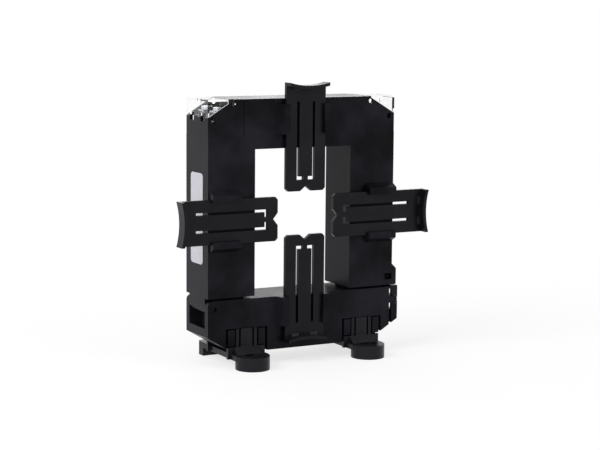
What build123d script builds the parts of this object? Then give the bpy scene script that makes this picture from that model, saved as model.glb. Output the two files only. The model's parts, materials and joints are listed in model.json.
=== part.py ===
# Hinged split-core current transformer: it closes round a busbar and measures the current in it.
# Millimetres. +Z up, the side with the slides faces -Y. The origin is the middle of the line
# between the two foot screws, on the mounting surface.
from build123d import *
import os

# Overall form
base_length = 129.2        # lower half, latch included
leg_step = 4.2             # latch's outer face to the right leg's outer face
body_depth = 30.0
leg_width = 30.4
window_height = 88.1
lintel_height = 7.8        # window top to the cap's seam
cap_height = 21.6
base_height = 31.9
foot_height = 8.6          # mounting surface to the underside of the base
split_gap = 1.4
chamfer_run = 17.6
chamfer_rise = 10.5
base_chamfer_rise = 10.2
wall = 2.0

# Clearances
fit = 0.3                  # between moulded pieces
seat = 0.1                 # between pieces that rest on each other
running = 0.05             # radial, round a pin that turns
press = 0.02               # radial, round a pin that stays put

# Iron core
core_width = 11.2
air_gap = 0.3
core_below_split = 7.4     # how far the upper core's legs reach below the split

# Tongues: the legs' ends that enter the base
tongue_overhang = 10.2     # from the core's middle to the tongue's side towards the window
tongue_latch_side = 8.8    # from the core's middle to the right tongue's outer side
tongue_wall = 1.6          # core to the tongue's front and back
tongue_drop = 7.0

# Hinge
hinge_inset = 4.2
hinge_drop = 6.4
hinge_pin_radius = 1.5
hinge_barrel_radius = 3.6
hinge_pin_inset = 1.4      # pin's ends below the base's faces

# Base
cheek = 4.2                # thickness of the base's front and back walls
cheek_fillet = 3.0
end_window_drop = 18.1     # split to the sill of the left end window
lid_inset = 3.16           # from the ends of the base's flat underside
lid_side = 4.0             # from the front and back faces
spring_thickness = 0.5
spring_length = 24.0
spring_width = 12.0
spring_rise = 3.4
spring_inset = 13.0        # from the lid's end to each spring's middle
tray_wall = 1.2
tray_rim_drop = 1.3        # how far the tray's rim stays below the yoke's face

# Latch
latch_reach = 5.8          # base wall to the latch's outer face
latch_gap = 1.8
latch_top_drop = 0.8
latch_bottom_drop = 21.5
latch_pivot_drop = 9.4
latch_pivot_inset = 2.2    # from the latch's outer face
latch_pin_radius = 1.0
latch_lug_half = 2.1       # half the height of the lugs that hold the latch pin
latch_lug_clearance = 0.35
latch_lug_skin = 0.9       # wall that hides the pin's ends
latch_root = 2.0           # height of the thick stretch that carries the arm
latch_cheek = 2.0          # front and back walls beside the cored windows
latch_middle = 9.0         # web between the front and back windows
latch_window_height = 3.8
latch_window_offset = 2.5  # from the pivot to each window
latch_arm_thickness = 1.3
latch_arm_inset = 4.0      # from the latch's outer face to the arm's outer side
latch_arm_side = 3.0       # from the front and back faces
latch_arm_top = 6.5        # above the split
latch_nose = 1.5
latch_nose_tip = 1.1
latch_spring_radius = 1.5
latch_spring_length = 6.0
ledge_height = 3.3
pocket_inset = 6.0         # from the leg's outer face
pocket_height = 9.0
pocket_window = 3.8
bulge = 3.0                # how far the leg swells round the latch arm
bulge_wall = 0.9

# Slides and their rails
slide_width = 26.2
slide_length = 64.3
slide_thickness = 2.5
slide_gap = 0.4            # slide to the front face
slide_tip_chamfer = 1.6
notch_width = 7.4
notch_depth = 3.0
slot_width = 1.6
slot_start = 6.7           # from the tip
slot_length = 46.3
tip_slot = 2.0
spring_tongue_width = 8.8
bridge = 3.0
slide_bow = 1.8
slide_lip_depth = 5.3
slide_lip_thickness = 2.0
gusset_width = 4.8
gusset_length = 8.5
gusset_rise = 1.0
gusset_offset = 6.2        # from the slide's middle line
rail_front_height = 2.0     # stem at the lip, beyond the slide's clearance
rail_root_height = 4.9      # stem at the housing
rail_lip = 2.2
rail_overlap = 1.6
rail_length = 18.6
rail_inset = 0.8           # from a leg's outer face
upright_rail_length = 17.5
upper_rail_above_split = 104.0
lower_rail_drop = 10.2
slide_above_split = 45.4
top_tip_reach = 15.7       # from the level of the side slides' middle
bottom_tip_reach = 10.3
left_tip_reach = 18.5      # from the middle of the window
right_tip_reach = 19.0

# Terminal boxes and their clear covers
box_length = 23.0
box_recess = 0.2
box_floor_height = 7.5     # seam to the inside floor
box_floor = 1.5
box_strip = 8.6            # the box's fixed top, from its inner end
strip_thickness = 1.2
cap_gap = 0.2
cap_rib = 2.0
cap_rib_pitch = 22.5
cover_pin_run = 16.5       # from the end face
cover_pin_drop = 2.7       # from the top face
cover_pin_radius = 1.3
cover_ear_radius = 2.6
cover_wall = 1.2
cover_side = 0.8
cover_rest = 0.2           # side plates to the chamfer
pry_inset = 2.1            # slot for lifting the cover, from the end face
pry_width = 2.6
pry_drop = 3.3             # below the end wall's top edge
pry_height = 3.4
cover_top_end = 3.6        # from the pin to the end of the cover's top
cover_arm_reach = 4.0      # how far the ear's arm runs under the cover's top
cover_arm_drop = 1.0       # arm's lower edge below the pin's middle
entry_width = 5.6
entry_below = 2.3          # cable entry, below and above the end wall's top edge
entry_above = 2.5
clamp_side = 1.8           # clamp to the box's front and back walls
terminal_inset = 10.0      # from the end face to the clamp's middle
contact_thickness = 1.0
contact_length = 12.0
clamp_size = 7.6
clamp_height = 6.2
clamp_wall = 0.9
screw_radius = 1.75
screw_reach = 2.6          # how far the shank passes below the clamp's top
screw_head_radius = 3.0
screw_head = 2.2
screw_slot = 0.8

# Windings
bobbin_above_split = 14.0
bobbin_wall = 1.0
flange = 1.5
winding_build = 2.6
winding_clearance = 0.2    # winding to the housing's front and back walls
lead_radius = 0.6
lead_corner = 2.2          # from the inside of the walls to the lead's middle

# Feet
foot_inset = 25.35         # from the base's ends to the foot screws
foot_screw_reach = 7.8     # screw line to the front face
eyelet_radius = 10.2
eyelet_height = 8.1
foot_hole_radius = 2.6
counterbore_radius = 4.8
counterbore_depth = 1.2
foot_bar = 3.3
foot_pad_reach = 16.4      # behind the back face
foot_pad_length = 8.2
foot_pad_width = 21.0
foot_pad_radius = 3.0
foot_width = 24.4
recess_depth = 2.4
recess_side = 1.5          # recess beyond the foot's fingers
recess_top_drop = 18.7
finger_thickness = 2.0
finger_root_drop = 30.0
finger_rib = 2.0
finger_gap = 1.1
guide_width = 4.4          # blocks in the recess beside the foot's fingers
guide_gap = 0.8            # above and below each block
finger_centre = 7.6
ramp_reach = 4.6
ramp_width = 16.4

# Label
label_width = 16.2
label_height = 53.6
label_above_split = 19.4
label_thickness = 0.25
label_radius = 2.5

# Faces, planes and centres that follow
left_x = -base_length / 2
right_x = base_length / 2
leg_span = base_length - leg_step
leg_right_x = left_x + leg_span
window_left = left_x + leg_width
window_right = leg_right_x - leg_width
window_x = (window_left + window_right) / 2
front_y = foot_screw_reach
back_y = front_y + body_depth
mid_y = (front_y + back_y) / 2
base_bottom = foot_height
base_top = base_bottom + base_height
split_z = base_top + split_gap
window_top = base_top + window_height
seam_z = window_top + lintel_height
top_z = seam_z + cap_height
slide_z = split_z + slide_above_split
foot_pitch = base_length - 2 * foot_inset
recess_top = split_z - recess_top_drop
finger_root = split_z - finger_root_drop
hinge_x = left_x + hinge_inset
hinge_z = split_z - hinge_drop
core_depth = body_depth - 2 * (wall + winding_clearance + winding_build + 2 * seat + bobbin_wall)
core_left = left_x + leg_width / 2
core_right = leg_right_x - leg_width / 2
core_bottom = split_z - core_below_split
core_bar_bottom = window_top + wall + fit
core_bar_top = core_bar_bottom + core_width
yoke_top = core_bottom - air_gap
yoke_bottom = yoke_top - core_width
tray_bottom = yoke_bottom - seat - tray_wall
spring_seat_z = tray_bottom - 2 * seat - spring_rise - spring_thickness
chamfer_slope = chamfer_rise / chamfer_run
latch_bottom = split_z - latch_bottom_drop
base_flat_left = left_x + base_chamfer_rise / chamfer_slope
base_flat_right = right_x - (latch_bottom - base_bottom) / chamfer_slope
lid_left = base_flat_left + lid_inset
lid_length = base_flat_right - base_flat_left - 2 * lid_inset
lid_right = lid_left + lid_length
lid_depth = body_depth - 2 * lid_side
base_wall_x = right_x - latch_reach
latch_inner_x = base_wall_x + latch_gap
latch_pivot_x = right_x - latch_pivot_inset
latch_pivot_z = split_z - latch_pivot_drop
arm_outer_x = right_x - latch_arm_inset
arm_inner_x = arm_outer_x - latch_arm_thickness
ledge_x = arm_inner_x - fit
ledge_top = split_z + ledge_height
pocket_x = leg_right_x - pocket_inset
pocket_top = split_z + pocket_height
bulge_x = leg_right_x + bulge
slide_back_y = front_y - slide_gap
slide_front_y = slide_back_y - slide_thickness
rail_back_y = slide_front_y - fit
rail_front_y = rail_back_y - rail_lip
box_floor_z = seam_z + box_floor_height
box_inner_x = left_x + box_length
end_wall_top = top_z - chamfer_rise
cover_pin_x = left_x + cover_pin_run
cover_pin_z = top_z - cover_pin_drop
ear_front_y = front_y + box_recess + wall + cap_gap
ear_back_y = back_y - box_recess - wall - cap_gap
contact_top = box_floor_z + contact_thickness
terminal_offset = body_depth / 2 - box_recess - wall - clamp_side - clamp_size / 2
clamp_top = contact_top + clamp_height
bobbin_bottom = split_z + bobbin_above_split
bobbin_top = core_bar_bottom - fit
winding_top = bobbin_top - flange - seat
lead_y = front_y + wall + lead_corner
tongue_depth = core_depth + 2 * (seat + tongue_wall)
tongue_front_y = mid_y - tongue_depth / 2
tongue_back_y = mid_y + tongue_depth / 2


def slab(x0, x1, y0, y1, z0, z1):
    middle = Pos((x0 + x1) / 2, (y0 + y1) / 2, (z0 + z1) / 2)
    return middle * Box(x1 - x0, y1 - y0, z1 - z0)


def front_prism(points, y0, y1):
    face = Plane.XZ * make_face(Polyline(*points, close=True))
    return Pos(0, y1, 0) * extrude(face, amount=y1 - y0)


def side_prism(points, x0, x1):
    face = Plane.YZ * make_face(Polyline(*points, close=True))
    return Pos(x0, 0, 0) * extrude(face, amount=x1 - x0)


def rod_y(x, z, radius, y0, y1):
    return Pos(x, (y0 + y1) / 2, z) * Rot(90, 0, 0) * Cylinder(radius, y1 - y0)


def rod_z(x, y, radius, z0, z1):
    return Pos(x, y, (z0 + z1) / 2) * Cylinder(radius, z1 - z0)


def mirrored(shape):
    # left and right of the upper half are alike about the middle of the window
    return mirror(shape, Plane.YZ.offset(window_x))


# Guide rails
def rail(middle_x, middle_z, away_x, away_z, length):
    # the lip laps over a slide's edge and the stem's back is bevelled; away points from slide to stem
    stem_low = slide_width / 2 + fit
    lip_low = slide_width / 2 - rail_overlap
    section = [(front_y, stem_low), (rail_back_y, stem_low), (rail_back_y, lip_low), (rail_front_y, lip_low),
               (rail_front_y, stem_low + rail_front_height), (front_y, stem_low + rail_root_height)]
    turn = {(0, 1): 0, (1, 0): 90, (0, -1): 180, (-1, 0): -90}[(away_x, away_z)]
    return Pos(middle_x, 0, middle_z) * Rot(0, turn, 0) * side_prism(section, -length / 2, length / 2)


# Upper half: housing
def tongue(x0, x1, core_x):
    shell = slab(x0, x1, tongue_front_y, tongue_back_y, split_z - tongue_drop, split_z + wall)
    half = core_width / 2 + seat
    depth = core_depth / 2 + seat
    passage = slab(core_x - half, core_x + half, mid_y - depth, mid_y + depth,
                   split_z - tongue_drop, split_z + wall)
    return shell, passage


def upper_housing():
    shoulder = pocket_top + bulge_wall
    outline = [(left_x, split_z), (left_x, seam_z), (leg_right_x, seam_z), (leg_right_x, shoulder + bulge),
               (bulge_x, shoulder), (bulge_x, split_z)]
    inside_front = front_y + wall
    inside_back = back_y - wall
    body = front_prism(outline, front_y, back_y)
    body -= slab(window_left, window_right, front_y, back_y, split_z, window_top)
    body -= slab(left_x + wall, window_left - wall, inside_front, inside_back, split_z + wall, seam_z)
    body -= slab(window_right + wall, pocket_x - wall, inside_front, inside_back, split_z + wall, seam_z)
    body -= slab(window_right + wall, leg_right_x - wall, inside_front, inside_back,
                 shoulder + wall, seam_z)
    body -= slab(left_x + wall, leg_right_x - wall, inside_front, inside_back, window_top + wall, seam_z)
    left_shell, left_passage = tongue(left_x, core_left + tongue_overhang, core_left)
    right_shell, right_passage = tongue(core_right - tongue_overhang, core_right + tongue_latch_side,
                                        core_right)
    body += left_shell + right_shell
    body += rod_y(hinge_x, hinge_z, hinge_barrel_radius, tongue_front_y, tongue_back_y)
    body -= rod_y(hinge_x, hinge_z, hinge_pin_radius + running, tongue_front_y, tongue_back_y)
    body -= left_passage + right_passage
    # the latch's arm rises between the ledge and the bulge, and its nose hooks over the ledge
    pocket_right = bulge_x - bulge_wall
    body -= slab(pocket_x, pocket_right, inside_front, inside_back, ledge_top, pocket_top)
    body -= slab(ledge_x, pocket_right, inside_front, inside_back, split_z, ledge_top)
    body -= slab(pocket_x + bulge_wall, leg_right_x, front_y, back_y, ledge_top, ledge_top + pocket_window)
    for away in (1, -1):
        body += rail(left_x + rail_inset + rail_length / 2, slide_z, 0, away, rail_length)
        body += rail(leg_right_x - rail_inset - rail_length / 2, slide_z, 0, away, rail_length)
    return body


# Upper half: cap, terminal boxes and clear covers
def top_cap():
    x0 = box_inner_x + cap_gap
    x1 = 2 * window_x - x0
    body = slab(x0, x1, front_y, back_y, seam_z, top_z)
    body -= slab(x0 + wall, x1 - wall, front_y + wall, back_y - wall, seam_z, top_z - wall)
    body -= slab(x0, x1, front_y + wall, back_y - wall, seam_z, core_bar_top + fit)
    for side in (-1, 0, 1):
        x = window_x + side * cap_rib_pitch
        body += slab(x - cap_rib / 2, x + cap_rib / 2, front_y + wall, back_y - wall,
                     core_bar_top + seat, top_z - wall)
    for away in (1, -1):
        body += rail(window_x, split_z + upper_rail_above_split, away, 0, upright_rail_length)
    return body


def cable_entry(y, x0, x1):
    return slab(x0, x1, y - entry_width / 2, y + entry_width / 2,
                end_wall_top - entry_below, end_wall_top + entry_above)


def terminal_box():
    y0 = front_y + box_recess
    y1 = back_y - box_recess
    outline = [(left_x, seam_z), (left_x, end_wall_top), (left_x + chamfer_run, top_z),
               (box_inner_x, top_z), (box_inner_x, seam_z)]
    body = front_prism(outline, y0, y1)
    body -= slab(left_x + wall, box_inner_x - wall, y0 + wall, y1 - wall, box_floor_z, top_z)
    body -= slab(left_x + wall, box_inner_x, y0 + wall, y1 - wall, seam_z, box_floor_z - box_floor)
    strip_inset = cover_side + fit
    body += slab(box_inner_x - box_strip, box_inner_x, ear_front_y + strip_inset, ear_back_y - strip_inset,
                 top_z - strip_thickness, top_z)
    body -= rod_y(cover_pin_x, cover_pin_z, cover_pin_radius + running, y0, y1)
    body -= rod_z(left_x + wall + lead_corner, lead_y, 2 * lead_radius, box_floor_z - box_floor, box_floor_z)
    for side in (-1, 1):
        body -= cable_entry(mid_y + side * terminal_offset, left_x, left_x + wall)
    for y in (y0, y1 - wall):
        body -= slab(left_x + pry_inset, left_x + pry_inset + pry_width, y, y + wall,
                     end_wall_top - pry_drop, end_wall_top - pry_drop + pry_height)
    return body


def terminal_cover():
    y0 = front_y + seat
    y1 = back_y - seat
    side_low = end_wall_top + cover_rest
    top_end = cover_pin_x - cover_top_end
    wall_low = end_wall_top + cover_wall * chamfer_slope + cap_gap
    outline = [(left_x, side_low), (left_x, top_z), (top_end, top_z),
               (top_end, side_low + (top_end - left_x) * chamfer_slope)]
    body = slab(left_x, top_end, y0, y1, top_z - cover_wall, top_z)
    body += slab(left_x, left_x + cover_wall, y0, y1, wall_low, top_z)
    for side_y in (y0, y1 - cover_side):
        body += front_prism(outline, side_y, side_y + cover_side)
    for side in (-1, 1):
        body -= cable_entry(mid_y + side * terminal_offset, left_x, left_x + cover_wall)
    # the ears lie inside the box's walls and their pins point outwards
    for ear_y in (ear_front_y, ear_back_y - cover_side):
        body += slab(top_end - cover_arm_reach, cover_pin_x, ear_y, ear_y + cover_side,
                     cover_pin_z - cover_arm_drop, top_z)
        body += rod_y(cover_pin_x, cover_pin_z, cover_ear_radius, ear_y, ear_y + cover_side)
    body += rod_y(cover_pin_x, cover_pin_z, cover_pin_radius, front_y + box_recess + seat, ear_front_y)
    body += rod_y(cover_pin_x, cover_pin_z, cover_pin_radius, ear_back_y, back_y - box_recess - seat)
    return body


# Terminals
def contact_bar():
    reach = terminal_offset + clamp_size / 2
    x = left_x + terminal_inset
    return slab(x - contact_length / 2, x + contact_length / 2, mid_y - reach, mid_y + reach,
                box_floor_z, contact_top)


def terminal_clamp(y):
    x = left_x + terminal_inset
    half = clamp_size / 2
    body = slab(x - half, x + half, y - half, y + half, contact_top, clamp_top)
    body -= slab(x - half, x + half, y - half + clamp_wall, y + half - clamp_wall,
                 contact_top + clamp_wall, clamp_top - clamp_wall)
    body -= rod_z(x, y, screw_radius + running, clamp_top - clamp_wall, clamp_top)
    return body


def terminal_screw(y):
    x = left_x + terminal_inset
    head_z = clamp_top + seat
    body = rod_z(x, y, screw_radius, clamp_top - screw_reach, head_z)
    body += rod_z(x, y, screw_head_radius, head_z, head_z + screw_head)
    body -= slab(x - screw_head_radius, x + screw_head_radius, y - screw_slot / 2, y + screw_slot / 2,
                 head_z + screw_head / 2, head_z + screw_head)
    return body


# Core and windings
def upper_core():
    half = core_width / 2
    y0 = mid_y - core_depth / 2
    y1 = mid_y + core_depth / 2
    body = slab(core_left - half, core_right + half, y0, y1, core_bar_bottom, core_bar_top)
    for x in (core_left, core_right):
        body += slab(x - half, x + half, y0, y1, core_bottom, core_bar_bottom)
    return body


def lower_core():
    half = core_width / 2
    return slab(core_left - half, core_right + half, mid_y - core_depth / 2, mid_y + core_depth / 2,
                yoke_bottom, yoke_top)


def square_ring(x, inner_x, inner_y, outer_x, outer_y, z0, z1):
    body = slab(x - outer_x, x + outer_x, mid_y - outer_y, mid_y + outer_y, z0, z1)
    return body - slab(x - inner_x, x + inner_x, mid_y - inner_y, mid_y + inner_y, z0, z1)


def bobbin(x):
    inner_x = core_width / 2 + seat
    inner_y = core_depth / 2 + seat
    flange_x = leg_width / 2 - wall - fit
    flange_y = body_depth / 2 - wall - fit
    body = square_ring(x, inner_x, inner_y, inner_x + bobbin_wall, inner_y + bobbin_wall,
                       bobbin_bottom, bobbin_top)
    for z in (bobbin_bottom, bobbin_top - flange):
        body += square_ring(x, inner_x, inner_y, flange_x, flange_y, z, z + flange)
    return body


def winding(x):
    inner_x = core_width / 2 + bobbin_wall + 2 * seat
    inner_y = core_depth / 2 + bobbin_wall + 2 * seat
    return square_ring(x, inner_x, inner_y, inner_x + winding_build, inner_y + winding_build,
                       bobbin_bottom + flange + seat, winding_top)


def lead():
    # from the bobbin's flange up to the contact bar
    x = left_x + wall + lead_corner
    return rod_z(x, lead_y, lead_radius, bobbin_top, box_floor_z)


def series_link():
    # joins the two windings along the front of the lintel, on top of the bobbins' flanges
    x0 = window_left - wall - lead_corner
    x1 = window_right + wall + lead_corner
    z = bobbin_top + lead_radius
    return Pos((x0 + x1) / 2, lead_y, z) * Rot(0, 90, 0) * Cylinder(lead_radius, x1 - x0)


# Base
def base_outline(inset):
    low = base_bottom + inset
    wall_low = latch_bottom - latch_reach * chamfer_slope
    return [(left_x + inset, base_top - inset), (left_x + inset, base_bottom + base_chamfer_rise + inset / 2),
            (base_flat_left + inset / 2, low), (base_flat_right - inset / 2, low),
            (base_wall_x - inset, wall_low + inset / 2), (base_wall_x - inset, base_top - inset)]


def lower_housing():
    inside_front = front_y + cheek
    inside_back = back_y - cheek
    body = front_prism(base_outline(0), front_y, back_y)
    corner = body.edges().filter_by(Axis.Y).sort_by_distance((left_x, mid_y, base_top))[0]
    body = fillet(corner, cheek_fillet)
    body -= front_prism(base_outline(wall), inside_front, inside_back)
    # the left tongue swings through the open end, the right one goes straight in
    body -= slab(left_x, core_left + tongue_overhang + fit, inside_front, inside_back,
                 split_z - end_window_drop, base_top)
    body -= slab(core_right - tongue_overhang - fit, core_right + tongue_latch_side + fit,
                 inside_front, inside_back, base_top - wall, base_top)
    body -= rod_y(hinge_x, hinge_z, hinge_pin_radius + press, front_y, back_y)
    lid_room = lid_depth / 2 + fit
    body -= slab(lid_left - fit, lid_right + fit, mid_y - lid_room, mid_y + lid_room,
                 base_bottom, base_bottom + wall)
    half = foot_width / 2 + recess_side
    for side in (-1, 1):
        x = side * foot_pitch / 2
        for y0 in (front_y, back_y - recess_depth):
            body -= slab(x - half, x + half, y0, y0 + recess_depth, base_bottom, recess_top)
            for guide_x in (x - foot_width / 2, x + foot_width / 2 - guide_width):
                body += slab(guide_x, guide_x + guide_width, y0, y0 + recess_depth,
                             finger_root + guide_gap, recess_top - guide_gap)
    lug_end = latch_pivot_x + latch_lug_half
    for y0 in (front_y, inside_back):
        lug = slab(base_wall_x, latch_pivot_x, y0, y0 + cheek,
                   latch_pivot_z - latch_lug_half, latch_pivot_z + latch_lug_half)
        lug += rod_y(latch_pivot_x, latch_pivot_z, lug_end - latch_pivot_x, y0, y0 + cheek)
        body += lug
    body -= rod_y(latch_pivot_x, latch_pivot_z, latch_pin_radius + press,
                  front_y + latch_lug_skin, back_y - latch_lug_skin)
    for away in (1, -1):
        body += rail(window_x, split_z - lower_rail_drop, away, 0, upright_rail_length)
    return body


def base_lid():
    body = slab(lid_left, lid_right, mid_y - lid_depth / 2, mid_y + lid_depth / 2,
                base_bottom, base_bottom + wall)
    for middle in (lid_left + spring_inset, lid_right - spring_inset):
        body += slab(middle - spring_length / 2, middle + spring_length / 2,
                     mid_y - spring_width / 2, mid_y + spring_width / 2, base_bottom + wall, spring_seat_z)
    return body


def core_spring(x):
    # bowed leaf between the lid's seat and the yoke's tray
    half = spring_length / 2
    low = spring_seat_z + seat
    top = low + spring_rise
    under = ThreePointArc((x - half, low), (x, top), (x + half, low))
    right_end = Line((x + half, low), (x + half, low + spring_thickness))
    over = ThreePointArc((x + half, low + spring_thickness), (x, top + spring_thickness),
                         (x - half, low + spring_thickness))
    left_end = Line((x - half, low + spring_thickness), (x - half, low))
    face = Plane.XZ * make_face(under + right_end + over + left_end)
    return Pos(0, mid_y + spring_width / 2, 0) * extrude(face, amount=spring_width)


def yoke_tray():
    half_y = core_depth / 2 + seat
    x0 = core_left - core_width / 2 - seat
    x1 = core_right + core_width / 2 + seat
    body = slab(x0 - tray_wall, x1 + tray_wall, mid_y - half_y - tray_wall, mid_y + half_y + tray_wall,
                tray_bottom, yoke_top - tray_rim_drop)
    return body - slab(x0, x1, mid_y - half_y, mid_y + half_y, tray_bottom + tray_wall, yoke_top)


def hinge_pin():
    return rod_y(hinge_x, hinge_z, hinge_pin_radius, front_y + hinge_pin_inset, back_y - hinge_pin_inset)


# Latch
def latch():
    top = split_z - latch_top_drop
    low = latch_bottom
    outline = [(latch_inner_x, low - (right_x - latch_inner_x) * chamfer_slope), (right_x, low),
               (right_x, top), (arm_inner_x, top), (arm_inner_x, top - latch_root),
               (latch_inner_x, top - latch_root)]
    body = front_prism(outline, front_y, back_y)
    window_levels = (latch_pivot_z + latch_window_offset,
                     latch_pivot_z - latch_window_offset - latch_window_height)
    for z in window_levels:
        for y0, y1 in ((front_y + latch_cheek, mid_y - latch_middle / 2),
                       (mid_y + latch_middle / 2, back_y - latch_cheek)):
            body -= slab(latch_inner_x, right_x, y0, y1, z, z + latch_window_height)
    arm_top = split_z + latch_arm_top
    nose_low = ledge_top + fit
    arm = [(arm_outer_x, top), (arm_outer_x, arm_top), (arm_inner_x, arm_top),
           (arm_inner_x - latch_nose, nose_low + latch_nose_tip), (arm_inner_x - latch_nose, nose_low),
           (arm_inner_x, nose_low), (arm_inner_x, top)]
    body += front_prism(arm, front_y + latch_arm_side, back_y - latch_arm_side)
    notch = latch_lug_half + latch_lug_clearance
    for y0, y1 in ((front_y, front_y + cheek + fit), (back_y - cheek - fit, back_y)):
        body -= slab(latch_inner_x, latch_pivot_x, y0, y1, latch_pivot_z - notch, latch_pivot_z + notch)
        body -= rod_y(latch_pivot_x, latch_pivot_z, notch, y0, y1)
    spring_half = latch_spring_length / 2 + fit
    spring_room = latch_spring_radius + fit
    body -= slab(latch_inner_x, latch_pivot_x + spring_room, mid_y - spring_half, mid_y + spring_half,
                 latch_pivot_z - spring_room, latch_pivot_z + spring_room)
    return body - rod_y(latch_pivot_x, latch_pivot_z, latch_pin_radius + running, front_y, back_y)


def latch_pin():
    return rod_y(latch_pivot_x, latch_pivot_z, latch_pin_radius,
                 front_y + latch_lug_skin, back_y - latch_lug_skin)


def latch_spring():
    half = latch_spring_length / 2
    coil = rod_y(latch_pivot_x, latch_pivot_z, latch_spring_radius, mid_y - half, mid_y + half)
    return coil - rod_y(latch_pivot_x, latch_pivot_z, latch_pin_radius + seat, mid_y - half, mid_y + half)


# Slides
def slide():
    # tip at the origin, plate upwards
    half = slide_width / 2
    cut = slide_tip_chamfer
    notch = notch_width / 2
    end = slide_length
    edge = Polyline((half, end), (half, cut), (half - cut, 0), (notch, 0), (0, notch_depth), (-notch, 0),
                    (-half + cut, 0), (-half, cut), (-half, end))
    bow = ThreePointArc((-half, end), (0, end - slide_bow), (half, end))
    plate = extrude(Plane.XZ * make_face(edge + bow), amount=slide_thickness)
    inner = end - slide_lip_thickness
    lip_edges = bow + Line((half, end), (half, inner))
    lip_edges += ThreePointArc((half, inner), (0, inner - slide_bow), (-half, inner))
    lip_edges += Line((-half, inner), (-half, end))
    body = plate + extrude(Plane.XZ * make_face(lip_edges), amount=slide_thickness + slide_lip_depth)
    gusset = [(0, inner - slide_bow - gusset_length), (0, inner), (-slide_thickness - gusset_rise, inner)]
    tongue_half = spring_tongue_width / 2
    for side in (-1, 1):
        x = side * gusset_offset
        body += side_prism(gusset, x - gusset_width / 2, x + gusset_width / 2)
        long_x = sorted((side * tongue_half, side * (tongue_half + slot_width)))
        body -= slab(*long_x, -slide_thickness, 0, slot_start, slot_start + slot_length)
        tip_x = sorted((side * bridge / 2, side * (tongue_half + slot_width)))
        body -= slab(*tip_x, -slide_thickness, 0, slot_start, slot_start + tip_slot)
    return Pos(0, slide_back_y, 0) * body


def placed_slide(x, z, turn):
    return Pos(x, 0, z) * Rot(0, turn, 0) * slide()


# Feet
def fingers(y0, z0, z1):
    # a wide finger between two ribs
    half = finger_centre / 2
    body = slab(-half, half, y0, y0 + finger_thickness, z0, z1)
    for rib_x in (half + finger_gap, -half - finger_gap - finger_rib):
        body += slab(rib_x, rib_x + finger_rib, y0, y0 + finger_thickness, z0, z1)
    return body


def foot():
    outer = foot_width / 2
    inset = (recess_depth - finger_thickness) / 2
    bar_top = base_bottom - fit
    bar_bottom = bar_top - foot_bar
    front_finger = front_y + inset
    rear_finger = back_y - inset - finger_thickness
    pad_end = back_y + foot_pad_reach
    pad_half = foot_pad_width / 2
    # the bar bridges a ridge of the mounting plate, from the round eyelet to the rear pad
    body = slab(-pad_half, pad_half, front_finger, pad_end - foot_pad_length, bar_bottom, bar_top)
    body += slab(-pad_half, pad_half, 0, front_finger, bar_bottom, eyelet_height)
    body += rod_z(0, 0, eyelet_radius, 0, eyelet_height)
    pad = slab(-pad_half, pad_half, pad_end - foot_pad_length, pad_end, 0, bar_top)
    corners = pad.edges().filter_by(Axis.Z).sort_by(Axis.Y)[-2:]
    body += fillet(corners, foot_pad_radius)
    for y0 in (front_finger, rear_finger):
        body += slab(-outer, outer, y0, y0 + finger_thickness, bar_bottom, finger_root)
        body += fingers(y0, finger_root, recess_top - fit)
    ramp = [(front_finger, finger_root), (front_finger - ramp_reach, eyelet_height),
            (front_finger, eyelet_height)]
    body += side_prism(ramp, -ramp_width / 2, ramp_width / 2)
    body -= rod_z(0, 0, foot_hole_radius, 0, eyelet_height)
    body -= rod_z(0, 0, counterbore_radius, eyelet_height - counterbore_depth, eyelet_height)
    return body


# Label
def rating_label():
    z0 = split_z + label_above_split
    body = slab(left_x - label_thickness, left_x, mid_y - label_width / 2, mid_y + label_width / 2,
                z0, z0 + label_height)
    return fillet(body.edges().filter_by(Axis.X), label_radius)


nodes = {
    "upper_housing": upper_housing(),
    "top_cap": top_cap(),
    "terminal_box_left": terminal_box(),
    "terminal_box_right": mirrored(terminal_box()),
    "terminal_cover_left": terminal_cover(),
    "terminal_cover_right": mirrored(terminal_cover()),
    "contact_bar_left": contact_bar(),
    "contact_bar_right": mirrored(contact_bar()),
    "upper_core": upper_core(),
    "bobbin_left": bobbin(core_left),
    "bobbin_right": bobbin(core_right),
    "winding_left": winding(core_left),
    "winding_right": winding(core_right),
    "lead_left": lead(),
    "lead_right": mirrored(lead()),
    "series_link": series_link(),
    "rating_label": rating_label(),
    "lower_housing": lower_housing(),
    "base_lid": base_lid(),
    "lower_core": lower_core(),
    "yoke_tray": yoke_tray(),
    "core_spring_left": core_spring(lid_left + spring_inset),
    "core_spring_right": core_spring(lid_right - spring_inset),
    "hinge_pin": hinge_pin(),
    "latch": latch(),
    "latch_pin": latch_pin(),
    "latch_spring": latch_spring(),
    "foot_left": Pos(-foot_pitch / 2, 0, 0) * foot(),
    "foot_right": Pos(foot_pitch / 2, 0, 0) * foot(),
    "slide_top": placed_slide(window_x, slide_z + top_tip_reach, 0),
    "slide_bottom": placed_slide(window_x, slide_z - bottom_tip_reach, 180),
    "slide_left": placed_slide(window_x - left_tip_reach, slide_z, -90),
    "slide_right": placed_slide(window_x + right_tip_reach, slide_z, 90),
}
for place, y in (("front", mid_y - terminal_offset), ("back", mid_y + terminal_offset)):
    nodes["clamp_left_" + place] = terminal_clamp(y)
    nodes["clamp_right_" + place] = mirrored(terminal_clamp(y))
    nodes["screw_left_" + place] = terminal_screw(y)
    nodes["screw_right_" + place] = mirrored(terminal_screw(y))

os.makedirs("parts", exist_ok=True)
for name, shape in nodes.items():
    export_step(shape, "parts/" + name + ".step")
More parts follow.
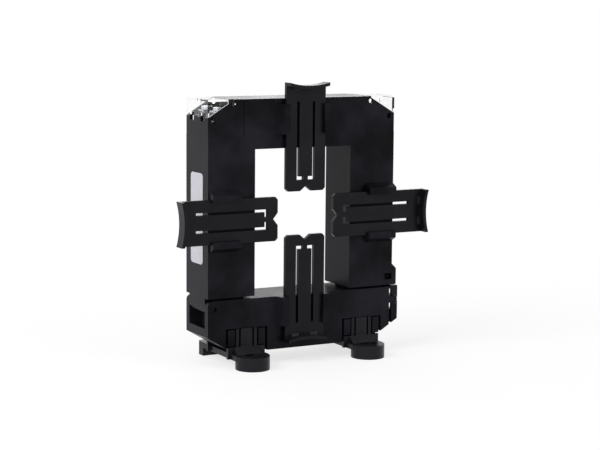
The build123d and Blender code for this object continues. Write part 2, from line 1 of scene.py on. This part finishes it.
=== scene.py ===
import json
import math
import bpy
import numpy as np
from mathutils import Matrix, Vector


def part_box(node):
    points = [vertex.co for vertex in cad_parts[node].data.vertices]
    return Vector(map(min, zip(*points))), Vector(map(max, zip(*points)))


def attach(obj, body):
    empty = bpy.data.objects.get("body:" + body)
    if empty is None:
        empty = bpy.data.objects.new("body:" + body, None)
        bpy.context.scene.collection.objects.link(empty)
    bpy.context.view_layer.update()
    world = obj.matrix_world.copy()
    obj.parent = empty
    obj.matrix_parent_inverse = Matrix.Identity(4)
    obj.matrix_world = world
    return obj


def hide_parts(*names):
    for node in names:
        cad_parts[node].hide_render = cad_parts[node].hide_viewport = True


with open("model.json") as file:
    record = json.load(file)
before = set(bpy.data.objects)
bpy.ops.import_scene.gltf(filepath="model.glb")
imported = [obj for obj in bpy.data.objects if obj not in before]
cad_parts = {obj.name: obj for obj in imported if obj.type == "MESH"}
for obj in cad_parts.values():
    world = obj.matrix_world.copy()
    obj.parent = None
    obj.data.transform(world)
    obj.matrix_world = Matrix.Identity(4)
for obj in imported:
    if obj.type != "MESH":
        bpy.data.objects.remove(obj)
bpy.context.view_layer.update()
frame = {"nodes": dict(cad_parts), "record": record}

print("frame loaded:", len(frame["nodes"]), "nodes")


# small helpers for colours and shader nodes

def linearColour(hexText):
    # sRGB hex to linear red, green, blue and alpha
    values = [int(hexText[i:i + 2], 16) / 255 for i in (1, 3, 5)]
    linear = [v / 12.92 if v <= 0.04045 else ((v + 0.055) / 1.055) ** 2.4 for v in values]
    return (*linear, 1.0)


def addNode(tree, kind, settings=None, links=None):
    # settings go to the node's inputs by name, or to the node itself; links join inputs to outputs
    node = tree.nodes.new(kind)
    for name, value in (settings or {}).items():
        if isinstance(name, int) or name in node.inputs:
            node.inputs[name].default_value = value
        else:
            setattr(node, name, value)
    for name, output in (links or {}).items():
        tree.links.new(output, node.inputs[name])
    return node


def newMaterial(name):
    material = bpy.data.materials.new(name)
    material.use_nodes = True
    material.node_tree.nodes.clear()
    return material, material.node_tree


def finishSurface(material, shader):
    tree = material.node_tree
    addNode(tree, "ShaderNodeOutputMaterial", {}, {"Surface": shader.outputs[0]})
    return material


# millimetres in a metre: patterns are sized in mm, and Object coordinates are in metres
perMillimetre = 1000.0
# a Wave texture of scale 1 has this many bands in one metre
waveTurns = 20 / (2 * math.pi)
# a Mix node's two colours and its mixed colour, by number, because its socket names repeat
mixA, mixB, mixResult = 6, 7, 2

# the noise in every moulded finish: it keeps near its middle, so cloudRange and glossRange say
# which part of it is spread over the whole change
mouldedNoise = {"flowDetail": 3.0, "flowRoughness": 0.55, "grainDetail": 2.0,
                "grainRoughness": 0.6, "cloudRange": (0.35, 0.65), "glossRange": (0.3, 0.7)}
# and what else they share: how smooth the soft edges are, and the IOR of filled polyamide
mouldedSurface = {"bevelSamples": 4, "ior": 1.53}


def mouldedPolyamide(name, settings):
    # glass-filled polyamide from a spark-eroded mould: black grades stay nearly black face on; all
    # have a fine satin grain, clouds of more and less gloss and tone where the melt flowed, and
    # soft edges that catch a thin line of light; on the housing the clouds are also placed as
    # painted light and shade, paler where more light falls and darker where less falls
    material, tree = newMaterial(name)
    place = addNode(tree, "ShaderNodeTexCoord")
    # the shift places the clouds; on the housing it lines them up as painted light and shade
    shift = addNode(tree, "ShaderNodeMapping",
                    {"Location": [part / perMillimetre for part in settings["flowAndLightShift"]]},
                    {"Vector": place.outputs["Object"]})
    flow = addNode(tree, "ShaderNodeTexNoise",
                   {"Scale": perMillimetre / settings["flowSize"],
                    "Detail": mouldedNoise["flowDetail"],
                    "Roughness": mouldedNoise["flowRoughness"]},
                   {"Vector": shift.outputs["Vector"]})
    grain = addNode(tree, "ShaderNodeTexNoise",
                    {"Scale": perMillimetre / settings["grainSize"],
                     "Detail": mouldedNoise["grainDetail"],
                     "Roughness": mouldedNoise["grainRoughness"]},
                    {"Vector": place.outputs["Object"]})
    cloudLow, cloudHigh = mouldedNoise["cloudRange"]
    cloud = addNode(tree, "ShaderNodeMapRange", {"From Min": cloudLow, "From Max": cloudHigh},
                    {"Value": flow.outputs["Fac"]})
    colour = addNode(tree, "ShaderNodeMix",
                     {"data_type": "RGBA", mixA: linearColour(settings["colour"]),
                      mixB: linearColour(settings["paleColour"])},
                     {"Factor": cloud.outputs["Result"]})
    glossLow, glossHigh = mouldedNoise["glossRange"]
    gloss = addNode(tree, "ShaderNodeMapRange",
                    {"From Min": glossLow, "From Max": glossHigh,
                     "To Min": settings["roughness"] - settings["glossChange"],
                     "To Max": settings["roughness"] + settings["glossChange"]},
                    {"Value": flow.outputs["Fac"]})
    softEdge = addNode(tree, "ShaderNodeBevel",
                       {"samples": mouldedSurface["bevelSamples"],
                        "Radius": settings["edgeRadius"] / perMillimetre})
    bump = addNode(tree, "ShaderNodeBump",
                   {"Strength": settings["grainStrength"],
                    "Distance": settings["grainDepth"] / perMillimetre},
                   {"Height": grain.outputs["Fac"], "Normal": softEdge.outputs["Normal"]})
    shader = addNode(tree, "ShaderNodeBsdfPrincipled",
                     {"IOR": mouldedSurface["ior"], "Specular IOR Level": settings["specular"],
                      "Specular Tint": linearColour(settings["sheenColour"])},
                     {"Base Color": colour.outputs[mixResult], "Roughness": gloss.outputs["Result"],
                      "Normal": bump.outputs["Normal"]})
    return finishSurface(material, shader)


# sizes in mm: the real grain is about 0.1 mm, so it is drawn coarser to show; the shift moves the
# clouds, and the housing's lie about where the photograph has them: the pale ones where its front
# is lit more and the dark ones where less light falls, so there they are partly painted light and
# shade
housingBlack = {
    "colour": "#070709", "paleColour": "#1a1a20", "sheenColour": "#f6f5ff", "flowSize": 26.0,
    "flowAndLightShift": (-333.0, 266.0, 230.0), "grainSize": 0.45, "grainDepth": 0.03,
    "grainStrength": 0.5, "edgeRadius": 0.25, "roughness": 0.33, "glossChange": 0.08,
    "specular": 0.075,
}
slideBlack = {
    "colour": "#0a0a0d", "paleColour": "#111115", "sheenColour": "#f6f5ff", "flowSize": 15.0,
    "flowAndLightShift": (0.0, 0.0, 0.0), "grainSize": 0.4, "grainDepth": 0.02, "grainStrength": 0.4,
    "edgeRadius": 0.2, "roughness": 0.34, "glossChange": 0.08, "specular": 0.14,
}
footBlack = {
    "colour": "#0d0d10", "paleColour": "#141418", "sheenColour": "#f6f5ff", "flowSize": 12.0,
    "flowAndLightShift": (0.0, 0.0, 0.0), "grainSize": 0.4, "grainDepth": 0.02, "grainStrength": 0.4,
    "edgeRadius": 0.25, "roughness": 0.36, "glossChange": 0.08, "specular": 0.18,
}
bobbinNatural = {
    "colour": "#c9c1ab", "paleColour": "#d8d1bf", "sheenColour": "#ffffff", "flowSize": 18.0,
    "flowAndLightShift": (0.0, 0.0, 0.0), "grainSize": 0.5, "grainDepth": 0.02, "grainStrength": 0.3,
    "edgeRadius": 0.2, "roughness": 0.5, "glossChange": 0.05, "specular": 0.5,
}


def clearPolycarbonate():
    # clear polycarbonate, polished in the mould: it shows what lies behind, with bright wet edges;
    # the real IOR of 1.58 gives thin walls edges that are much too dark, so it is matched
    settings = {"colour": "#ffffff", "roughness": 0.02, "ior": 1.28, "waveSize": 9.0,
                "waveDetail": 1.0, "waveDepth": 0.01, "waveStrength": 0.3}
    material, tree = newMaterial("clearPolycarbonate")
    place = addNode(tree, "ShaderNodeTexCoord")
    wave = addNode(tree, "ShaderNodeTexNoise",
                   {"Scale": perMillimetre / settings["waveSize"],
                    "Detail": settings["waveDetail"]},
                   {"Vector": place.outputs["Object"]})
    bump = addNode(tree, "ShaderNodeBump",
                   {"Strength": settings["waveStrength"],
                    "Distance": settings["waveDepth"] / perMillimetre},
                   {"Height": wave.outputs["Fac"]})
    shader = addNode(tree, "ShaderNodeBsdfPrincipled",
                     {"Base Color": linearColour(settings["colour"]),
                      "Roughness": settings["roughness"], "IOR": settings["ior"],
                      "Transmission Weight": 1.0},
                     {"Normal": bump.outputs["Normal"]})
    return finishSurface(material, shader)


# the noise in every metal finish: glossSpread is how far roughness goes either way along the lines
metalNoise = {"detail": 4.0, "glossSpread": 0.3, "bumpStrength": 0.3}


def metalFinish(name, settings):
    # a metal whose gloss changes along fine lines from drawing, grinding or rolling
    material, tree = newMaterial(name)
    place = addNode(tree, "ShaderNodeTexCoord")
    stretch = addNode(tree, "ShaderNodeMapping", {"Scale": settings["stretch"]},
                      {"Vector": place.outputs["Object"]})
    lines = addNode(tree, "ShaderNodeTexNoise",
                    {"Scale": perMillimetre / settings["lineSize"], "Detail": metalNoise["detail"]},
                    {"Vector": stretch.outputs["Vector"]})
    colour = addNode(tree, "ShaderNodeMix",
                     {"data_type": "RGBA", mixA: linearColour(settings["colour"]),
                      mixB: linearColour(settings["paleColour"])},
                     {"Factor": lines.outputs["Fac"]})
    gloss = addNode(tree, "ShaderNodeMapRange",
                    {"To Min": settings["roughness"] * (1 - metalNoise["glossSpread"]),
                     "To Max": settings["roughness"] * (1 + metalNoise["glossSpread"])},
                    {"Value": lines.outputs["Fac"]})
    bump = addNode(tree, "ShaderNodeBump",
                   {"Strength": metalNoise["bumpStrength"],
                    "Distance": settings["lineDepth"] / perMillimetre},
                   {"Height": lines.outputs["Fac"]})
    shader = addNode(tree, "ShaderNodeBsdfPrincipled", {"Metallic": 1.0},
                     {"Base Color": colour.outputs[mixResult], "Roughness": gloss.outputs["Result"],
                      "Normal": bump.outputs["Normal"]})
    return finishSurface(material, shader)


# sizes in mm: real lines are under 0.1 mm apart, so they are drawn coarser to show, and stretch
# draws them out where it is under 1

# bright zinc on pressed steel: cool and even, with fine drawing lines
zincSteel = {"colour": "#b9bcc2", "paleColour": "#d4d7dc", "stretch": (1.0, 1.0, 0.1),
             "lineSize": 0.3, "lineDepth": 0.01, "roughness": 0.28}
# the same zinc on turned screws: brighter, with rings from the lathe too fine to tell apart
turnedZincSteel = {"colour": "#c6c8cd", "paleColour": "#dcdee2", "stretch": (1.0, 1.0, 1.0),
                   "lineSize": 0.6, "lineDepth": 0.006, "roughness": 0.24}
# tin on rolled brass: warmer and softer than the zinc
tinnedBrass = {"colour": "#bdb9ac", "paleColour": "#d3d0c5", "stretch": (1.0, 0.1, 1.0),
               "lineSize": 0.25, "lineDepth": 0.008, "roughness": 0.35}
# hardened spring strip and wire: grey, with long rolling lines
springSteel = {"colour": "#8d8f93", "paleColour": "#a9abb0", "stretch": (1.0, 0.08, 1.0),
               "lineSize": 0.2, "lineDepth": 0.008, "roughness": 0.32}
# black oxide on drawn steel pins: dark, dry and even; the dark colour also paints the shade of a
# deeper pin hole where the hinge pin's end shows at the front
blackOxideAndPinHoleShade = {"colour": "#18181a", "paleColour": "#242427", "stretch": (1.0, 0.08, 1.0),
                   "lineSize": 0.2, "lineDepth": 0.008, "roughness": 0.45}
# enamelled copper: turns of 0.5 mm wire under red-brown enamel
enamelledCopper = {"colour": "#8a3f1c", "paleColour": "#b8622f", "stretch": (0.05, 0.05, 1.0),
                   "lineSize": 0.5, "lineDepth": 0.05, "roughness": 0.3}


def stackedCoreSteel():
    # a core of steel strips laid side by side, ground at its faces: the seams show as fine lines;
    # real strips are 0.3 mm thick, too fine for the picture, so they are drawn four times as thick
    settings = {"colour": "#6c6e71", "seamColour": "#3a3b3d", "stripThickness": 1.2,
                "distortion": 0.2, "roughness": 0.38}
    material, tree = newMaterial("stackedCoreSteel")
    place = addNode(tree, "ShaderNodeTexCoord")
    strips = addNode(tree, "ShaderNodeTexWave",
                     {"bands_direction": "Y", "Distortion": settings["distortion"],
                      "Scale": perMillimetre / settings["stripThickness"] / waveTurns},
                     {"Vector": place.outputs["Object"]})
    colour = addNode(tree, "ShaderNodeMix",
                     {"data_type": "RGBA", mixA: linearColour(settings["seamColour"]),
                      mixB: linearColour(settings["colour"])},
                     {"Factor": strips.outputs["Fac"]})
    shader = addNode(tree, "ShaderNodeBsdfPrincipled",
                     {"Metallic": 1.0, "Roughness": settings["roughness"]},
                     {"Base Color": colour.outputs[mixResult]})
    return finishSurface(material, shader)


def silverFilm():
    # satin silver polyester film, bare: pale and even, with a faint brushed line
    settings = {"colour": "#aeacb3", "paleColour": "#bbb9c0", "lineSize": 0.4, "lineDetail": 3.0,
                "stretch": (1.0, 0.04, 1.0), "metallic": 0.15, "roughness": 0.5}
    material, tree = newMaterial("silverFilm")
    place = addNode(tree, "ShaderNodeTexCoord")
    stretch = addNode(tree, "ShaderNodeMapping", {"Scale": settings["stretch"]},
                      {"Vector": place.outputs["Object"]})
    lines = addNode(tree, "ShaderNodeTexNoise",
                    {"Scale": perMillimetre / settings["lineSize"],
                     "Detail": settings["lineDetail"]},
                    {"Vector": stretch.outputs["Vector"]})
    colour = addNode(tree, "ShaderNodeMix",
                     {"data_type": "RGBA", mixA: linearColour(settings["colour"]),
                      mixB: linearColour(settings["paleColour"])},
                     {"Factor": lines.outputs["Fac"]})
    shader = addNode(tree, "ShaderNodeBsdfPrincipled",
                     {"Metallic": settings["metallic"], "Roughness": settings["roughness"]},
                     {"Base Color": colour.outputs[mixResult]})
    return finishSurface(material, shader)


materials = {
    "black_polyamide": mouldedPolyamide("mouldedHousingPolyamide", housingBlack),
    "slide": mouldedPolyamide("mouldedSlidePolyamide", slideBlack),
    "foot": mouldedPolyamide("mouldedFootPolyamide", footBlack),
    "natural_polyamide": mouldedPolyamide("naturalPolyamide", bobbinNatural),
    "clear_polycarbonate": clearPolycarbonate(),
    "core_steel": stackedCoreSteel(),
    "enamelled_copper": metalFinish("enamelledCopper", enamelledCopper),
    "tinned_brass": metalFinish("tinnedBrass", tinnedBrass),
    "zinc_steel": metalFinish("zincSteel", zincSteel),
    "screw": metalFinish("turnedZincSteel", turnedZincSteel),
    "spring_steel": metalFinish("springSteel", springSteel),
    # the pins' dark finish also paints the shade of the hinge pin's hole
    "pin": metalFinish("blackOxideAndPinHoleShade", blackOxideAndPinHoleShade),
    "silver_label": silverFilm(),
}
# nodes whose finish isn't the usual one of their slot
ownFinish = {"slide_top": "slide", "slide_bottom": "slide", "slide_left": "slide",
             "slide_right": "slide", "foot_left": "foot", "foot_right": "foot",
             "hinge_pin": "pin", "latch_pin": "pin"}
slotOfNode = {part["node"]: part["material_slot"] for part in frame["record"]["subparts"]}
for name, node in frame["nodes"].items():
    key = ownFinish.get(name, slotOfNode[name])
    for materialSlot in node.material_slots:
        materialSlot.material = materials[key]
print("materials set:", len(materials))


# turned and wound pieces
sharpAngle = math.radians(35)


def closedSkin(name, rings, startPole, endPole):
    # ring and step: points in mm make quads from ring to ring, and a fan of triangles round a pole
    # closes each end
    ringCount, stepCount = rings.shape[:2]
    points = np.concatenate([rings.reshape(-1, 3), [startPole, endPole]]) / perMillimetre
    step = np.arange(stepCount)
    after = (step + 1) % stepCount
    row = np.arange(ringCount - 1)[:, None] * stepCount
    nextRow = row + stepCount
    quads = np.stack([row + step, row + after, nextRow + after, nextRow + step], axis=-1)
    last = (ringCount - 1) * stepCount
    pole = np.full(stepCount, ringCount * stepCount)
    startFan = np.stack([pole, after, step], axis=-1)
    endFan = np.stack([pole + 1, last + step, last + after], axis=-1)
    faces = quads.reshape(-1, 4).tolist() + startFan.tolist() + endFan.tolist()
    mesh = bpy.data.meshes.new(name)
    mesh.from_pydata(points.tolist(), [], faces)
    mesh.polygons.foreach_set("use_smooth", np.ones(len(mesh.polygons), dtype=bool))
    mesh.set_sharp_from_angle(angle=sharpAngle)
    piece = bpy.data.objects.new(name, mesh)
    bpy.context.scene.collection.objects.link(piece)
    return piece


# M3.5 cheese-head screw, in mm; sideStop is where the head's side ends under the rim, in edge
# radii, and innerShare is how near the crown's rings come to its middle
terminalScrew = {"steps": 144, "shankRadius": 1.75, "threadDepth": 0.32, "pitch": 0.6,
                 "threadRings": 42, "pointShare": 0.87, "relief": 0.15, "headRadius": 3.0,
                 "headHeight": 2.2, "sideRings": 12, "sideStop": 1.1, "edge": 0.3, "edgeRings": 8,
                 "crown": 0.25, "crownRings": 30, "innerShare": 0.02, "underEdge": 0.1,
                 "slotWidth": 0.8, "slotDepth": 1.1, "slotEdge": 0.08, "slotFall": 0.95}


def addTerminalScrew(node, body, settings):
    # ring and turn: the thread's radius falls from its crest by threadDepth times a triangle wave
    # of height / pitch less turn / 360, and its first turn is slimmer; the head's crown is a
    # parabola, and within half a slotWidth of the middle line slotFall of the height over the
    # slot's floor is taken away
    low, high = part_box(node)
    middleX = (low[0] + high[0]) / 2 * perMillimetre
    middleY = (low[1] + high[1]) / 2 * perMillimetre
    bottom, top = low[2] * perMillimetre, high[2] * perMillimetre
    seatZ = top - settings["headHeight"]
    turn = np.linspace(0, 2 * np.pi, settings["steps"], endpoint=False)

    threadZ = np.linspace(bottom, seatZ - settings["relief"], settings["threadRings"])[:, None]
    turnsUp = (threadZ - bottom) / settings["pitch"]
    wave = np.abs((turnsUp - turn / (2 * np.pi)) % 1.0 * 2 - 1)
    point = settings["pointShare"] + (1 - settings["pointShare"]) * np.clip(turnsUp, 0, 1)
    threadRadius = (settings["shankRadius"] - settings["threadDepth"] * wave) * point

    edge, radius, under = settings["edge"], settings["headRadius"], settings["underEdge"]
    neck = settings["shankRadius"] - settings["threadDepth"]
    rim = top - settings["crown"]
    side = np.linspace(seatZ + 2 * under, rim - settings["sideStop"] * edge, settings["sideRings"])
    arc = np.linspace(0, np.pi / 2, settings["edgeRings"])
    share = np.linspace(1, settings["innerShare"], settings["crownRings"])[1:]
    crownZ = rim + settings["crown"] * (1 - share ** 2)
    headRadius = np.concatenate([[neck, radius - under, radius], np.full_like(side, radius),
                                 radius - edge + edge * np.cos(arc), (radius - edge) * share])
    headZ = np.concatenate([[seatZ, seatZ, seatZ + under], side,
                            rim - edge + edge * np.sin(arc), crownZ])
    across = np.abs(headRadius[:, None] * np.sin(turn))
    cut = 1 - np.clip((across - settings["slotWidth"] / 2) / settings["slotEdge"], 0, 1)
    overFloor = np.clip(headZ[:, None] - (top - settings["slotDepth"]), 0, None)
    headTop = headZ[:, None] - overFloor * cut * settings["slotFall"]

    radii = np.concatenate([threadRadius, np.broadcast_to(headRadius[:, None], headTop.shape)])
    heights = np.concatenate([np.broadcast_to(threadZ, threadRadius.shape), headTop])
    rings = np.stack([middleX + radii * np.cos(turn), middleY + radii * np.sin(turn), heights],
                     axis=-1)
    startPole = (middleX, middleY, bottom)
    endPole = (middleX, middleY, heights[-1].mean())
    piece = closedSkin(node + "_turned", rings, startPole, endPole)
    piece.data.materials.append(materials["screw"])
    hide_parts(node)
    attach(piece, body)


for place in ("left_front", "left_back", "right_front", "right_back"):
    addTerminalScrew("screw_" + place, "screw_" + place + "_body", terminalScrew)
print("terminal screws made")


# torsion spring of 0.38 mm wire on the latch's pin, in mm
latchSpring = {"turns": 7.0, "ringsPerTurn": 28, "wireRadius": 0.19, "wireSteps": 10}


def addLatchSpring(node, body, settings):
    # along and around: the wire's centre goes round the pin by turns times 360 while it moves from
    # end to end, and the skin lies one wire radius from it
    low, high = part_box(node)
    centre = [(a + b) / 2 * perMillimetre for a, b in zip(low, high)]
    wire = settings["wireRadius"]
    coilRadius = (high[2] - low[2]) / 2 * perMillimetre - wire
    along = np.linspace(0, 1, round(settings["turns"] * settings["ringsPerTurn"]))
    angle = 2 * np.pi * settings["turns"] * along
    start, end = low[1] * perMillimetre + wire, high[1] * perMillimetre - wire
    outward = np.stack([np.cos(angle), np.zeros_like(angle), np.sin(angle)], axis=-1)
    path = coilRadius * outward
    path[:, 1] = start + (end - start) * along
    path += (centre[0], 0, centre[2])
    around = np.linspace(0, 2 * np.pi, settings["wireSteps"], endpoint=False)
    sideways = np.array([0.0, 1.0, 0.0])
    rings = (path[:, None] + wire * np.cos(around)[None, :, None] * outward[:, None]
             + wire * np.sin(around)[None, :, None] * sideways)
    piece = closedSkin(node + "_wound", rings, path[0], path[-1])
    piece.data.materials.append(materials["spring_steel"])
    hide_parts(node)
    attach(piece, body)


addLatchSpring("latch_spring", "base", latchSpring)
print("latch spring made")


# floor, world and lamps
def whiteRays(tree):
    # 1 for rays from the camera and for glossy and transmitted rays, which see the background white
    path = addNode(tree, "ShaderNodeLightPath")
    seen = addNode(tree, "ShaderNodeMath", {"operation": "MAXIMUM"},
                   {0: path.outputs["Is Camera Ray"], 1: path.outputs["Is Glossy Ray"]})
    through = addNode(tree, "ShaderNodeMath", {"operation": "MAXIMUM"},
                      {0: seen.outputs[0], 1: path.outputs["Is Transmission Ray"]})
    return through.outputs[0]


def softFloor():
    # pale floor: it takes the object's shadow, and shows white to the camera and to glossy pieces;
    # the share of white rises with the distance from the object, so no horizon shows
    settings = {"colour": "#f2f2f2", "nearShare": 0.72, "nearDistance": 0.12, "farDistance": 0.5,
                "halfSize": 3.0}
    half = settings["halfSize"]
    corners = [(-half, -half, 0), (half, -half, 0), (half, half, 0), (-half, half, 0)]
    mesh = bpy.data.meshes.new("floor")
    mesh.from_pydata(corners, [], [(0, 1, 2, 3)])
    floor = bpy.data.objects.new("floor", mesh)
    bpy.context.scene.collection.objects.link(floor)
    material, tree = newMaterial("paleFloor")
    matt = addNode(tree, "ShaderNodeBsdfDiffuse", {"Color": linearColour(settings["colour"])})
    glow = addNode(tree, "ShaderNodeEmission", {"Color": (1, 1, 1, 1), "Strength": 1.0})
    place = addNode(tree, "ShaderNodeTexCoord")
    distance = addNode(tree, "ShaderNodeVectorMath", {"operation": "LENGTH"},
                       {0: place.outputs["Object"]})
    white = addNode(tree, "ShaderNodeMapRange",
                    {"From Min": settings["nearDistance"], "From Max": settings["farDistance"],
                     "To Min": settings["nearShare"], "To Max": 1.0,
                     "interpolation_type": "SMOOTHSTEP"},
                    {"Value": distance.outputs["Value"]})
    share = addNode(tree, "ShaderNodeMath", {"operation": "MULTIPLY"},
                    {0: whiteRays(tree), 1: white.outputs["Result"]})
    mixed = addNode(tree, "ShaderNodeMixShader", {},
                    {0: share.outputs[0], 1: matt.outputs[0], 2: glow.outputs[0]})
    floor.data.materials.append(finishSurface(material, mixed))


def whiteWorld():
    # a white world to look at, which lights the object with the ambient share of it
    settings = {"ambient": 0.62}
    world = bpy.data.worlds.new("studio")
    bpy.context.scene.world = world
    world.use_nodes = True
    tree = world.node_tree
    tree.nodes.clear()
    strength = addNode(tree, "ShaderNodeMapRange", {"To Min": settings["ambient"], "To Max": 1.0},
                       {"Value": whiteRays(tree)})
    sky = addNode(tree, "ShaderNodeBackground", {"Color": (1, 1, 1, 1)},
                  {"Strength": strength.outputs["Result"]})
    addNode(tree, "ShaderNodeOutputWorld", {}, {"Surface": sky.outputs[0]})


def areaLamp(name, settings):
    # a soft box that faces its target; the camera doesn't see it
    lamp = bpy.data.lights.new(name, "AREA")
    lamp.shape = "RECTANGLE"
    lamp.size, lamp.size_y = settings["size"]
    lamp.energy = settings["watts"]
    holder = bpy.data.objects.new(name, lamp)
    holder.visible_camera = False
    bpy.context.scene.collection.objects.link(holder)
    target = np.array(settings["target"])
    eye = np.array(settings["place"])
    back = (eye - target) / np.linalg.norm(eye - target)
    side = np.cross((0, 0, 1), back)
    side = side / np.linalg.norm(side)
    up = np.cross(back, side)
    turn = Matrix(np.stack([side, up, back], axis=1).tolist()).to_4x4()
    holder.matrix_world = Matrix.Translation(eye.tolist()) @ turn


# the back lamp is small, low and near, so it brightens the cap's top and little else
lamps = {
    "keyLamp": {"place": (-1.1, -0.25, 0.9), "target": (0, 0.02, 0.08),
                "size": (0.9, 0.7), "watts": 14.0},
    "fillLamp": {"place": (0.8, -1.2, 1.0), "target": (0, 0.02, 0.08),
                 "size": (0.9, 0.7), "watts": 6.0},
    "backLamp": {"place": (0.33, 0.64, 0.335), "target": (0, 0.02, 0.14),
                 "size": (0.8, 0.13), "watts": 1.1},
}
softFloor()
whiteWorld()
for lampName, lampSettings in lamps.items():
    areaLamp(lampName, lampSettings)
print("floor, world and lamps set")


def photoCamera():
    # the eye and its turn were worked out from the photograph's perspective
    settings = {"eye": (-0.485081, -0.879081, 0.217544), "yaw": 28.4726, "pitch": 7.6319,
                "roll": 0.4802, "lens": 102.60, "sensor": 36.0, "clipStart": 0.01}
    camera = bpy.data.cameras.new("photoCamera")
    camera.lens = settings["lens"]
    camera.sensor_width = settings["sensor"]
    camera.sensor_fit = "HORIZONTAL"
    camera.clip_start = settings["clipStart"]
    holder = bpy.data.objects.new("photoCamera", camera)
    bpy.context.scene.collection.objects.link(holder)
    turn = (Matrix.Rotation(math.radians(-settings["yaw"]), 4, "Z")
            @ Matrix.Rotation(math.radians(90 - settings["pitch"]), 4, "X")
            @ Matrix.Rotation(math.radians(settings["roll"]), 4, "Z"))
    holder.matrix_world = Matrix.Translation(settings["eye"]) @ turn
    bpy.context.scene.camera = holder


photoCamera()
bpy.context.scene.view_settings.view_transform = "Standard"
print("camera set")
